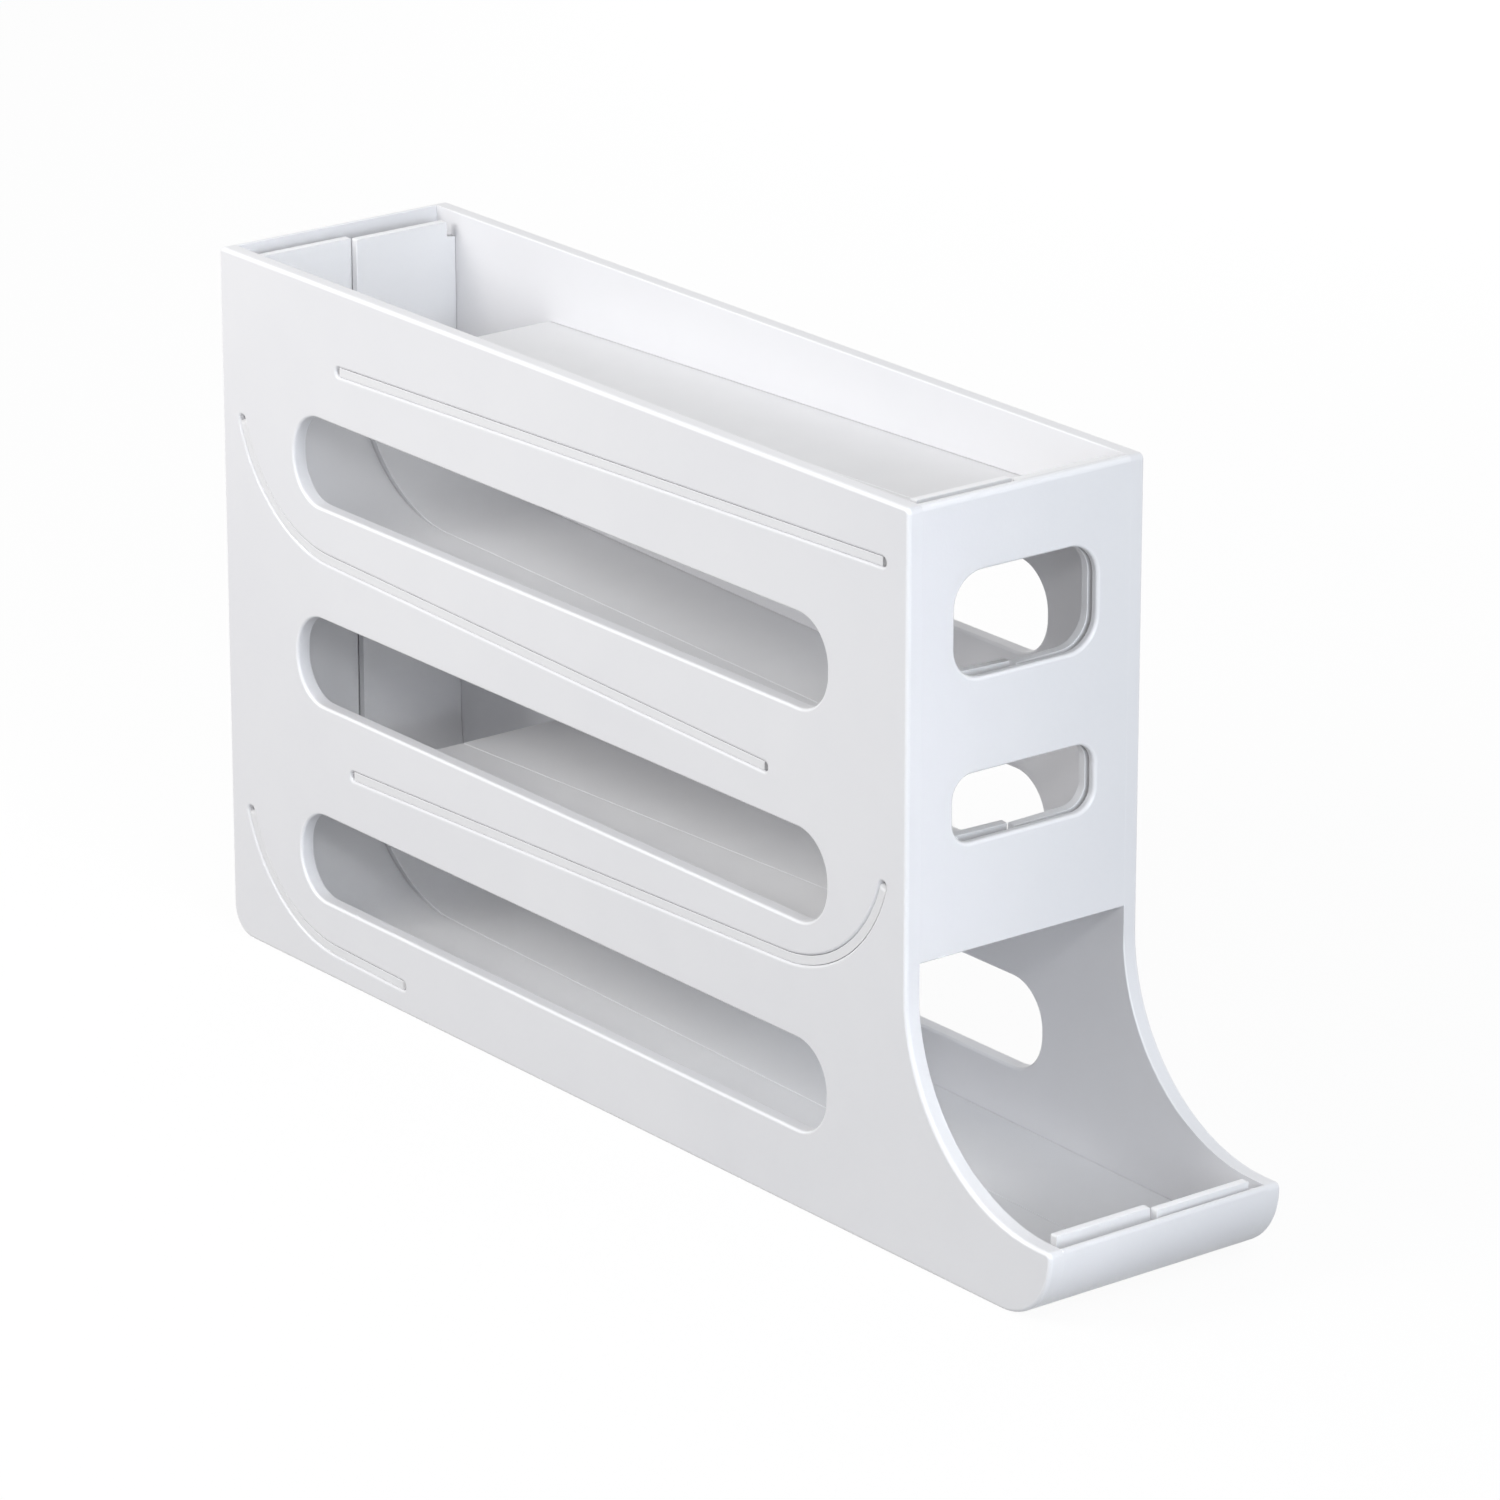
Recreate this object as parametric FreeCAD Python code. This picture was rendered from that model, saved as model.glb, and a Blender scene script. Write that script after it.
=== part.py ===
"""Four-tier rolling holder in moulded plastic, a kit of plates that plug together.

Frame: millimetres, +Z up, origin at the middle of the footprint on the surface it stands on.
The front, with the outlet lip, faces -Y. The width runs along X, and left is -X.
Each tier has two half-width runners. Each half plugs into its own side panel with a long tenon,
and the halves meet at the middle of the width.
"""
import FreeCAD, Part
import math
import os

# Overall sizes
WIDTH = 81.0                # over both side panels
BODY_LENGTH = 319.0         # from the front edge to the rear edge of a side panel
CHUTE_R = 55.0              # swept edge from the front of a side panel down to the lip
LIP_FLAT = 6.0              # level edge in front of the sweep
NOSE_R = 20.2               # round of the nose under the lip
NOSE_UPRIGHT = 0.3          # from the round of the nose to the corner above it
REAR_CORNER_R = 9.0

# Walls and clearances
SIDE_T = 4.8                # side panels
WALL_T = 2.4                # front panel, rear panel and outlet lip
RUNNER_T = 2.6
FIT = 0.12                  # clearance on each face of a plug-in joint
MIDDLE_GAP = 0.3            # between the two halves of a tier

# Windows in the sides, one between each tier and the next
TIERS = (1, 2, 3, 4)
WINDOW_SILL = 23.2          # lowest sill above the floor
WINDOW_PITCH = 60.95
WINDOW_H = 26.9
WINDOW_CORNER_R = 12.6
WINDOW_FROM_FRONT = 34.2
WINDOW_FROM_REAR = 36.2

# Runner heights, taken at the middle of the plate's thickness
TIER_1_OVER_WINDOW = 16.3   # low end of tier 1 over the top window
TIER_2_UNDER_SILL = 20.9    # low end of tier 2 under the sill of the top window
TIER_3_UNDER_SILL = 17.5    # low end of tier 3 under the sill of the middle window
RIM_OVER_TIER_1 = 24.2      # rim over the low end of tier 1
SLOPE = 1.6                 # degrees, tiers 1 to 3
OUTLET_SLOPE = 1.0          # degrees, tier 4

# Runner ends
TIER_1_DROP = 59.4          # open gap from the end of tier 1 to the rear
TIER_2_DROP = 61.1          # from the end of tier 2 to the front
TIER_3_DROP = 63.3          # from the end of tier 3 to the rear
BEND_R = 46.0               # upturned ends, at the middle of the plate's thickness
FRONT_PLATE_GAP = 1.7       # from the front panel to the plate of the right half
REAR_PLATE_GAP = 4.3        # from the rear panel to the plate of the left half
FRONT_PLATE_BELOW_RIM = 0.8
REAR_PLATE_BELOW_RIM = 2.4
GUIDE_UNDER_TIER_2 = 8.0    # top of the rear plate of tier 4 under the low end of tier 2
LIP_PLATE_OVER_LIP = 1.0
SHOULDER_W = 3.0            # relief at the outer top corner of each plate
SHOULDER_H = 5.0

# Mortise and tenon
TENON_RECESS = 0.4          # end of a tenon below the outside of the panel
TENON_ROOT = 1.0            # a tenon or tongue runs this far into the plate that carries it
MORTISE_END_GAP = 1.0       # open end of a mortise past its tenon
BEND_TENON = 71.5           # degrees of a bend that carry the tenon
TIER_4_TENON = 87.0         # where the tenon of tier 4 starts, from the rear of the body

# Tongue and groove of the cross walls
TONGUE_T = 1.2
TONGUE_W = 2.0
TONGUE_END = 4.0            # the tongue stops this far from the ends of its wall

# Front panel
FRONT_WINDOW_W = 49.0
UPPER_WINDOW_H = 29.8
UPPER_WINDOW_R = 9.5
UPPER_WINDOW_UNDER_TIER_1 = 3.4
LOWER_WINDOW_H = 19.3
LOWER_WINDOW_R = 6.5
FRONT_WINDOW_GAP = 26.7     # between the two windows
FRONT_SKIRT = 30.7          # panel below the lower window
LIP_FOOT = 12.0             # flange of the lip under tier 4

# Edges
SIDE_EDGE_R = 1.2           # round of the outside of the side panels
CORNER_OVER_EDGE = 0.6      # the upper corners of the outline are this much larger than that round
WALL_EDGE_R = 0.8           # round of the lower edge of the front and rear panels
WINDOW_EDGE = 0.6           # broken edge of the windows

# Places worked out from the sizes above
TOP_CORNER_R = SIDE_EDGE_R + CORNER_OVER_EDGE
CHUTE_REACH = CHUTE_R + LIP_FLAT
NOSE_Y = -(BODY_LENGTH + CHUTE_REACH) / 2
FRONT_Y = NOSE_Y + CHUTE_REACH
REAR_Y = FRONT_Y + BODY_LENGTH
LIP_TOP = NOSE_R + NOSE_UPRIGHT + TOP_CORNER_R
INSIDE_X = WIDTH / 2 - SIDE_T
SIDE_SILLS = [WINDOW_SILL + WINDOW_PITCH * level for level in range(len(TIERS) - 1)]
TIER_1_LOW = SIDE_SILLS[2] + WINDOW_H + TIER_1_OVER_WINDOW
TIER_2_LOW = SIDE_SILLS[2] - TIER_2_UNDER_SILL
TIER_3_LOW = SIDE_SILLS[1] - TIER_3_UNDER_SILL
HEIGHT = TIER_1_LOW + RIM_OVER_TIER_1
PLATE_CENTRE = WALL_T + RUNNER_T / 2
FRONT_PLATE_Y = {
    "right": FRONT_Y + PLATE_CENTRE + FRONT_PLATE_GAP,
    "left": FRONT_Y + PLATE_CENTRE + FRONT_PLATE_GAP + RUNNER_T,
}
REAR_PLATE_Y = {
    "left": REAR_Y - PLATE_CENTRE - REAR_PLATE_GAP,
    "right": REAR_Y - PLATE_CENTRE - REAR_PLATE_GAP - RUNNER_T,
}
LIP_PLATE_Y = {side: y - CHUTE_REACH for side, y in FRONT_PLATE_Y.items()}
FRONT_PLATE_TOP = HEIGHT - FRONT_PLATE_BELOW_RIM
REAR_PLATE_TOP = HEIGHT - REAR_PLATE_BELOW_RIM
GUIDE_TOP = TIER_2_LOW - GUIDE_UNDER_TIER_2
LIP_PLATE_TOP = LIP_TOP + LIP_PLATE_OVER_LIP
LIP_SEAT = WALL_T + FIT + RUNNER_T / 2
LIP_BEND_R = NOSE_R - PLATE_CENTRE - FRONT_PLATE_GAP
OUT = {"left": -1, "right": 1}
TOUCH = 1e-4                # points nearer than this are the same point


def point(y, z, x=0.0):
    return FreeCAD.Vector(x, y, z)


def unit(heading):
    """Direction in the side view: 0 degrees points to the rear, 90 points up."""
    angle = math.radians(heading)
    return point(math.cos(angle), math.sin(angle))


def rise(run, slope):
    return run * math.tan(math.radians(slope))


def face_of(edges):
    return Part.Face(Part.Wire(Part.__sortEdges__(edges)))


def across(face, x_from, x_to):
    """Carries a face drawn in the side view across the width."""
    moved = face.copy()
    moved.translate(FreeCAD.Vector(x_from, 0, 0))
    return moved.extrude(FreeCAD.Vector(x_to - x_from, 0, 0))


def block(low, high):
    size = high - low
    return Part.makeBox(size.x, size.y, size.z, low)


def trace(start, heading, moves, offset):
    """Edges of a path of runs (length,) and bends (radius, turn), moved to its left by offset."""
    edges = []
    for move in moves:
        if len(move) == 1:
            shift = unit(heading + 90) * offset
            end = start + unit(heading) * move[0]
            edges.append(Part.LineSegment(start + shift, end + shift).toShape())
        else:
            radius, turn = move
            sign = math.copysign(1, turn)
            hub = start + unit(heading + 90 * sign) * radius
            spokes = [unit(heading - 90 * sign + turn * share) for share in (0, 0.5, 1)]
            bent = [hub + spoke * (radius - sign * offset) for spoke in spokes]
            edges.append(Part.Arc(*bent).toShape())
            end = hub + spokes[2] * radius
            heading += turn
        start = end
    return edges, start, heading


def ribbon(path, width):
    """Face of constant width along a path, with round ends."""
    start, heading, moves = path
    left, end, last = trace(start, heading, moves, width / 2)
    right, end, last = trace(start, heading, moves, -width / 2)
    caps = []
    for tip, way in ((start, heading + 180), (end, last)):
        rim = [tip + unit(way + turn) * (width / 2) for turn in (90, 0, -90)]
        caps.append(Part.Arc(*rim).toShape())
    return face_of(left + right + caps)


def rounded_window(u_low, v_low, u_high, v_high, radius, place):
    """Face with four round corners; place turns the window's own (u, v) into a point."""
    tip = radius * (1 - math.sqrt(0.5))
    corners = [
        ((u_low, v_low + radius), (u_low + tip, v_low + tip), (u_low + radius, v_low)),
        ((u_high - radius, v_low), (u_high - tip, v_low + tip), (u_high, v_low + radius)),
        ((u_high, v_high - radius), (u_high - tip, v_high - tip), (u_high - radius, v_high)),
        ((u_low + radius, v_high), (u_low + tip, v_high - tip), (u_low, v_high - radius)),
    ]
    edges = []
    for index, corner in enumerate(corners):
        following = corners[(index + 1) % len(corners)]
        edges.append(Part.Arc(*[place(*spot) for spot in corner]).toShape())
        edges.append(Part.LineSegment(place(*corner[2]), place(*following[0])).toShape())
    return face_of(edges)


def lies_at(shape, axis, value):
    """Whether a flat face or a straight edge lies wholly at a value on an axis."""
    box = shape.BoundBox
    ends = (getattr(box, axis + "Min"), getattr(box, axis + "Max"))
    return max(abs(end - value) for end in ends) < TOUCH


def edges_on(shape, axis, value):
    """Edges of the flat faces that lie at a value on an axis."""
    faces = [face for face in shape.Faces if lies_at(face, axis, value)]
    return [edge for face in faces for edge in face.Edges]


def cut_window(shape, cutter, axis, value):
    """Cuts a window and breaks the edge that it leaves on the flat face at a value on an axis."""
    shape = shape.cut(cutter)
    fresh = []
    for edge in edges_on(shape, axis, value):
        middle = edge.valueAt((edge.FirstParameter + edge.LastParameter) / 2)
        if cutter.isInside(middle, TOUCH, True):
            fresh.append(edge)
    return shape.makeChamfer(WINDOW_EDGE, fresh)


def tier_path(tier, side):
    """Middle line of a runner: where it starts, its heading there, and its runs and bends."""
    slope = math.radians(SLOPE)
    bend_reach = BEND_R * (1 - math.sin(slope))
    bend_rise = BEND_R * math.cos(slope)
    if tier == 1:
        low = point(REAR_Y - TIER_1_DROP, TIER_1_LOW)
        length = low.y - FRONT_PLATE_Y[side] - RUNNER_T - FIT
        return low, 180 - SLOPE, [(length / math.cos(slope),)]
    if tier == 2:
        low = point(FRONT_Y + TIER_2_DROP, TIER_2_LOW)
        run = REAR_PLATE_Y[side] - low.y - bend_reach
        plate = REAR_PLATE_TOP - RUNNER_T / 2 - low.z - rise(run, SLOPE) - bend_rise
        return low, SLOPE, [(run / math.cos(slope),), (BEND_R, 90 - SLOPE), (plate,)]
    if tier == 3:
        low = point(REAR_Y - TIER_3_DROP, TIER_3_LOW)
        run = low.y - FRONT_PLATE_Y[side] - bend_reach
        plate = FRONT_PLATE_TOP - RUNNER_T / 2 - low.z - rise(run, SLOPE) - bend_rise
        return low, 180 - SLOPE, [(run / math.cos(slope),), (BEND_R, SLOPE - 90), (plate,)]
    return outlet_path(side)


def outlet_path(side):
    """Tier 4 from the top of its lip plate, down, along to the rear and up again."""
    slope = math.radians(OUTLET_SLOPE)
    top = point(LIP_PLATE_Y[side], LIP_PLATE_TOP - RUNNER_T / 2)
    bend_low = LIP_SEAT + LIP_BEND_R * math.cos(slope)
    reach = LIP_BEND_R * (1 + math.sin(slope)) + BEND_R * (1 - math.sin(slope))
    run = REAR_PLATE_Y[side] - LIP_PLATE_Y[side] - reach
    guide = GUIDE_TOP - RUNNER_T / 2 - LIP_SEAT - rise(run, OUTLET_SLOPE) - BEND_R * math.cos(slope)
    return top, -90, [
        (top.z - bend_low,),
        (LIP_BEND_R, 90 + OUTLET_SLOPE),
        (run / math.cos(slope),),
        (BEND_R, 90 - OUTLET_SLOPE),
        (guide,),
    ]


def tenon_path(tier, side, gap):
    """The stretch of a runner that carries its tenon, with a gap past the tenon's round ends."""
    past_end = gap - RUNNER_T / 2
    start, heading, moves = tier_path(tier, side)
    bend = (BEND_R, BEND_TENON + math.degrees(past_end / BEND_R))
    if tier == 4:
        down, lip_bend, ramp = moves[:3]
        edges, ramp_start, heading = trace(start, heading, [down, lip_bend], 0)
        skipped = (REAR_Y - TIER_4_TENON - ramp_start.y) / math.cos(math.radians(OUTLET_SLOPE))
        start = ramp_start + unit(heading) * (skipped - past_end)
        return start, heading, [(ramp[0] - skipped + past_end,), bend]
    start = start - unit(heading) * past_end
    if tier == 1:
        return start, heading, [(moves[0][0] + 2 * past_end,)]
    turn = math.copysign(bend[1], moves[1][1])
    return start, heading, [(moves[0][0] + past_end,), (BEND_R, turn)]


def plate_tops(tier, side):
    """Middle lines and top heights of the upright plates of a tier."""
    return {
        1: [],
        2: [(REAR_PLATE_Y[side], REAR_PLATE_TOP)],
        3: [(FRONT_PLATE_Y[side], FRONT_PLATE_TOP)],
        4: [(LIP_PLATE_Y[side], LIP_PLATE_TOP), (REAR_PLATE_Y[side], GUIDE_TOP)],
    }[tier]


def front_windows():
    """Lower and upper edge and corner radius of the two windows of the front."""
    tier_1_front = TIER_1_LOW + rise(BODY_LENGTH - TIER_1_DROP, SLOPE)
    upper_top = tier_1_front - RUNNER_T / 2 - UPPER_WINDOW_UNDER_TIER_1
    upper_sill = upper_top - UPPER_WINDOW_H
    lower_top = upper_sill - FRONT_WINDOW_GAP
    lower_sill = lower_top - LOWER_WINDOW_H
    return [(lower_sill, lower_top, LOWER_WINDOW_R), (upper_sill, upper_top, UPPER_WINDOW_R)]


def front_window_cutters(y_from, y_to):
    """Solids of the two windows of the front, from one depth to another."""
    cutters = []
    for sill, top, radius in front_windows():
        half = FRONT_WINDOW_W / 2
        window = rounded_window(-half, sill, half, top, radius, lambda u, v: point(y_from, v, u))
        cutters.append(window.extrude(point(y_to - y_from, 0)))
    return cutters


def runner(tier, side):
    """One half of a tier, with the tenon that plugs into its side panel."""
    out = OUT[side]
    edge = INSIDE_X - FIT
    solid = across(ribbon(tier_path(tier, side), RUNNER_T), out * MIDDLE_GAP / 2, out * edge)
    for y, top in plate_tops(tier, side):
        reach = RUNNER_T
        inner = out * (edge - SHOULDER_W)
        outer = out * (edge + SHOULDER_W)
        low = point(y - reach, top - SHOULDER_H, min(inner, outer))
        high = point(y + reach, top + SHOULDER_H, max(inner, outer))
        solid = solid.cut(block(low, high))
    if tier == 3:
        y = FRONT_PLATE_Y[side]
        for cutter in front_window_cutters(y - RUNNER_T, y + RUNNER_T):
            solid = solid.cut(cutter)
    tenon_end = WIDTH / 2 - TENON_RECESS
    tenon = across(ribbon(tenon_path(tier, side, 0), RUNNER_T), out * (edge - TENON_ROOT), out * tenon_end)
    return solid.fuse(tenon).removeSplitter()


def side_outline():
    """Side view of a side panel: flat base, swept chute, and round corners."""
    r = TOP_CORNER_R
    tip = r * (1 - math.sqrt(0.5))
    sweep = CHUTE_R * math.sqrt(0.5)
    nose = NOSE_R * (1 - math.sqrt(0.5))
    rear = REAR_CORNER_R * (1 - math.sqrt(0.5))
    hub_y, hub_z = FRONT_Y - CHUTE_R, LIP_TOP + CHUTE_R
    stops = [
        [(NOSE_Y, NOSE_R), (NOSE_Y + nose, nose), (NOSE_Y + NOSE_R, 0)],
        [(REAR_Y - REAR_CORNER_R, 0), (REAR_Y - rear, rear), (REAR_Y, REAR_CORNER_R)],
        [(REAR_Y, HEIGHT - r), (REAR_Y - tip, HEIGHT - tip), (REAR_Y - r, HEIGHT)],
        [(FRONT_Y + r, HEIGHT), (FRONT_Y + tip, HEIGHT - tip), (FRONT_Y, HEIGHT - r)],
        [(FRONT_Y, hub_z), (hub_y + sweep, hub_z - sweep), (hub_y, LIP_TOP)],
        [(NOSE_Y + r, LIP_TOP), (NOSE_Y + tip, LIP_TOP - tip), (NOSE_Y, LIP_TOP - r)],
    ]
    edges = []
    for index, arc in enumerate(stops):
        following = stops[(index + 1) % len(stops)]
        edges.append(Part.Arc(*[point(*stop) for stop in arc]).toShape())
        if math.dist(arc[2], following[0]) > TOUCH:
            edges.append(Part.LineSegment(point(*arc[2]), point(*following[0])).toShape())
    return face_of(edges)


def side_panel(side):
    """Side wall with its windows, rounded edges, mortises and the grooves for the cross walls."""
    out = OUT[side]
    outside, inside = out * WIDTH / 2, out * INSIDE_X
    panel = across(side_outline(), inside, outside)
    panel = panel.makeFillet(SIDE_EDGE_R, edges_on(panel, "X", outside))
    for sill in SIDE_SILLS:
        window = rounded_window(
            FRONT_Y + WINDOW_FROM_FRONT, sill, REAR_Y - WINDOW_FROM_REAR, sill + WINDOW_H,
            WINDOW_CORNER_R, point)
        panel = cut_window(panel, across(window, inside, outside), "X", outside)
    for tier in TIERS:
        mortise = ribbon(tenon_path(tier, side, MORTISE_END_GAP), RUNNER_T + 2 * FIT)
        panel = panel.cut(across(mortise, inside, outside))
    for groove in (front_tongue(side, FIT), rear_tongue(side, FIT), lip_tongue(side, FIT)):
        panel = panel.cut(groove)
    return panel


def wall_tongue(side, y_low, z_low, z_high, spare):
    """Upright tongue at one side of a cross wall; spare widens it into its groove."""
    out = OUT[side]
    root = out * (INSIDE_X - TENON_ROOT)
    tip = out * (INSIDE_X + TONGUE_W + spare)
    low = point(y_low - spare, z_low + TONGUE_END - spare, min(root, tip))
    high = point(y_low + TONGUE_T + spare, z_high - TONGUE_END + spare, max(root, tip))
    return block(low, high)


def front_panel_low():
    return front_windows()[0][0] - FRONT_SKIRT


def front_tongue(side, spare):
    y_low = FRONT_Y + WALL_T - TONGUE_T
    return wall_tongue(side, y_low, front_panel_low(), HEIGHT, spare)


def rear_tongue(side, spare):
    return wall_tongue(side, REAR_Y - WALL_T, REAR_CORNER_R, HEIGHT, spare)


def cross_wall(y_low, outer_y, z_low):
    """Plate between the sides, flush with their outline; its outer face has a round top and lower edge."""
    edge = INSIDE_X - FIT
    wall = block(point(y_low, z_low, -edge), point(y_low + WALL_T, HEIGHT, edge))
    for z, radius in ((HEIGHT, TOP_CORNER_R), (z_low, WALL_EDGE_R)):
        level = [edge for edge in edges_on(wall, "Y", outer_y) if lies_at(edge, "Z", z)]
        wall = wall.makeFillet(radius, level)
    return wall


def front_panel():
    """Front wall with two windows above the outlet."""
    panel = cross_wall(FRONT_Y, FRONT_Y, front_panel_low())
    for cutter in front_window_cutters(FRONT_Y, FRONT_Y + WALL_T):
        panel = cut_window(panel, cutter, "Y", FRONT_Y)
    for side in OUT:
        panel = panel.fuse(front_tongue(side, 0))
    return panel.removeSplitter()


def rear_panel():
    """Plain rear wall."""
    panel = cross_wall(REAR_Y - WALL_T, REAR_Y, REAR_CORNER_R)
    for side in OUT:
        panel = panel.fuse(rear_tongue(side, 0))
    return panel.removeSplitter()


def lip_tongue(side, spare):
    """Tongue along the round and the foot of the lip; spare widens it into its groove."""
    out = OUT[side]
    inset = WALL_T - TONGUE_T / 2
    radius = NOSE_R - inset
    skipped = math.degrees((TONGUE_END - spare) / radius)
    start = point(NOSE_Y + NOSE_R, NOSE_R) + unit(180 + skipped) * radius
    moves = [(radius, 90 - skipped), (LIP_FOOT - TONGUE_END + spare,)]
    strip = ribbon((start, skipped - 90, moves), TONGUE_T + 2 * spare)
    return across(strip, out * (INSIDE_X - TENON_ROOT), out * (INSIDE_X + TONGUE_W + spare))


def outlet_lip():
    """Round-nosed wall across the outlet, with its foot under tier 4."""
    edge = INSIDE_X - FIT
    half = WALL_T / 2
    top = point(NOSE_Y + half, LIP_TOP - half)
    moves = [(top.z - NOSE_R,), (NOSE_R - half, 90), (LIP_FOOT,)]
    lip = across(ribbon((top, -90, moves), WALL_T), -edge, edge)
    for side in OUT:
        lip = lip.fuse(lip_tongue(side, 0))
    return lip.removeSplitter()


def build():
    pieces = {
        "front_panel": front_panel(),
        "rear_panel": rear_panel(),
        "outlet_lip": outlet_lip(),
    }
    for side in OUT:
        pieces[side + "_side_panel"] = side_panel(side)
        for tier in TIERS:
            pieces["tier_%d_runner_%s" % (tier, side)] = runner(tier, side)
    return pieces


os.makedirs("parts", exist_ok=True)
for name, shape in build().items():
    solids = len(shape.Solids)
    print(name, "valid" if shape.isValid() else "NOT VALID", solids, "solid", round(shape.Volume), "mm3")
    shape.exportStep("parts/%s.step" % name)
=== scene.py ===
# %% [markdown]
# A rolling holder in white moulded plastic
#
# The holder is a tall narrow box of flat plates. It is filled at the top, and four sloping runners
# lead the load down, to the rear and to the front in turn, as far as a low lip in front. Everything
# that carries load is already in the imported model, in metres, so this lesson only dresses it: it
# loads that model as a fixed frame, measures it, and never moves it.

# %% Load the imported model
import math

import bpy
import numpy as np
from mathutils import Matrix, Vector
from mathutils.geometry import tessellate_polygon


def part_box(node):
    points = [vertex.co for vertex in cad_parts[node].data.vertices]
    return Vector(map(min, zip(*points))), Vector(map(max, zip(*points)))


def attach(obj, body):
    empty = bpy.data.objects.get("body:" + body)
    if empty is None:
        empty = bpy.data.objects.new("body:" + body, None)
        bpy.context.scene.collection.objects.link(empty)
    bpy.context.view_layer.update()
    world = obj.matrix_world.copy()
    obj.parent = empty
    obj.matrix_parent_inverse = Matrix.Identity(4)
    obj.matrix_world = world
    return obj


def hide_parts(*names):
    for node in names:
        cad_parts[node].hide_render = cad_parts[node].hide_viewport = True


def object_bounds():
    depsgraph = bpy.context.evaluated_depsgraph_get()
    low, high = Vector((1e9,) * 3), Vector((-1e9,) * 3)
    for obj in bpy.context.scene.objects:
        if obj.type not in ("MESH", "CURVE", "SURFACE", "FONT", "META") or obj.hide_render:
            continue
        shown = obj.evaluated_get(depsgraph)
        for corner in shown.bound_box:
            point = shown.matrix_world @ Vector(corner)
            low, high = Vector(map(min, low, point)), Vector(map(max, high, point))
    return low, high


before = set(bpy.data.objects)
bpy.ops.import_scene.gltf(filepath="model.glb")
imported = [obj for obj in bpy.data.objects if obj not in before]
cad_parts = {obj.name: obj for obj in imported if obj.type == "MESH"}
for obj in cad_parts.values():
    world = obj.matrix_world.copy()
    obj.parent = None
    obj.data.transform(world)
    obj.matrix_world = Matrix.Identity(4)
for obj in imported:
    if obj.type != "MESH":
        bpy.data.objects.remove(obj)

cad_low, cad_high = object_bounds()
print("frame of", len(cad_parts), "nodes, size in metres:", [round(v, 4) for v in cad_high - cad_low])

# %% [markdown]
# Sizes
#
# Most places can be read from the frame: a node's box says where a wall stands and how thick it is.
# Only what a box can't say is written here, such as the radius of a sweep or of a soft edge. They
# are real sizes of the object, so a change here is a change that a ruler would show.

# %% Sizes of the side walls
MM = 0.001
side_low, side_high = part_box("left_side_panel")
NOSE_Y = side_low.y
REAR_Y = side_high.y
RIM_Z = side_high.z
OUTER_X = cad_high.x
SIDE_T = side_high.x - side_low.x
INSIDE_X = OUTER_X - SIDE_T
LIP_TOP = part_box("outlet_lip")[1].z
CHUTE_R = 55.0 * MM
LIP_FLAT = 6.0 * MM
NOSE_R = 20.2 * MM
REAR_CORNER_R = 9.0 * MM
TOP_CORNER_R = 1.8 * MM
FRONT_Y = NOSE_Y + CHUTE_R + LIP_FLAT
print("front edge of the sides at y =", round(FRONT_Y, 4), "and the lip's top at z =", round(LIP_TOP, 4))

# %% [markdown]
# Paths of runs and bends
#
# Every outline on this object is straight runs joined by round bends, so one small pen is enough:
# it starts at a point with a heading, and each move is a run (length,) or a bend (radius, turn).
# The alternative, a list of corner points, would need a new list for every window and slot. The pen
# also knows which way is sideways at each point, and that gives exact normals for smooth shading.

# %% The pen
ARC_STEP = 5.0              # degrees between points on a bend


def right_of(angle):
    """Unit vector to the right of a heading given in radians: (sin, -cos)."""
    return np.stack([np.sin(angle), -np.cos(angle)], axis=-1)


def draw(start, heading, moves):
    """Points of a closed path and the unit vectors to its right.

    A run is start + length * heading. A bend is hub + radius * right(heading), as the heading turns.
    The last point of each move is left out, because the next move starts there.
    """
    points = []
    rights = []
    spot = np.array(start, float)
    for move in moves:
        if len(move) == 1:
            angle = np.radians([heading, heading])
            line = spot + np.outer([0.0, move[0]], [math.cos(angle[0]), math.sin(angle[0])])
        else:
            radius, turn = move
            count = max(2, math.ceil(abs(turn) / ARC_STEP) + 1)
            angle = np.radians(heading + np.linspace(0.0, turn, count))
            reach = math.copysign(radius, turn)
            hub = spot - reach * right_of(angle[0])
            line = hub + reach * right_of(angle)
            heading += turn
        points.append(line[:-1])
        rights.append(right_of(angle)[:-1])
        spot = line[-1]
    gap = np.linalg.norm(spot - np.array(start))
    assert gap < 1e-6, "the path doesn't close, it misses by %.6f" % gap
    return np.concatenate(points), np.concatenate(rights)


def window_moves(width, height, radius):
    """Clockwise moves of a window with round corners, from the left end of its top edge."""
    runs = [width - 2 * radius, height - 2 * radius]
    moves = []
    for side in range(4):
        moves += [(runs[side % 2],), (radius, -90)]
    return moves


def slot_moves(moves, width, side):
    """Moves once round a band of a given width along a path.

    With side -1 the band is a hole that the pen goes round clockwise, along the path's left first.
    With side 1 it is a solid that the pen goes round the other way, along the path's right first.
    """
    half = width / 2

    def shifted(move, way):
        """A move on the way there (1) or back (-1), half a width beside the path."""
        if len(move) == 1:
            return move
        radius, turn = move
        return radius + way * math.copysign(half, turn) * side, turn * way

    there = [shifted(move, 1) for move in moves]
    back = [shifted(move, -1) for move in reversed(moves)]
    return there + [(half, side * 180)] + back + [(half, side * 180)]


print("one bend of 90 degrees has", math.ceil(90 / ARC_STEP), "facets")

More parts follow.
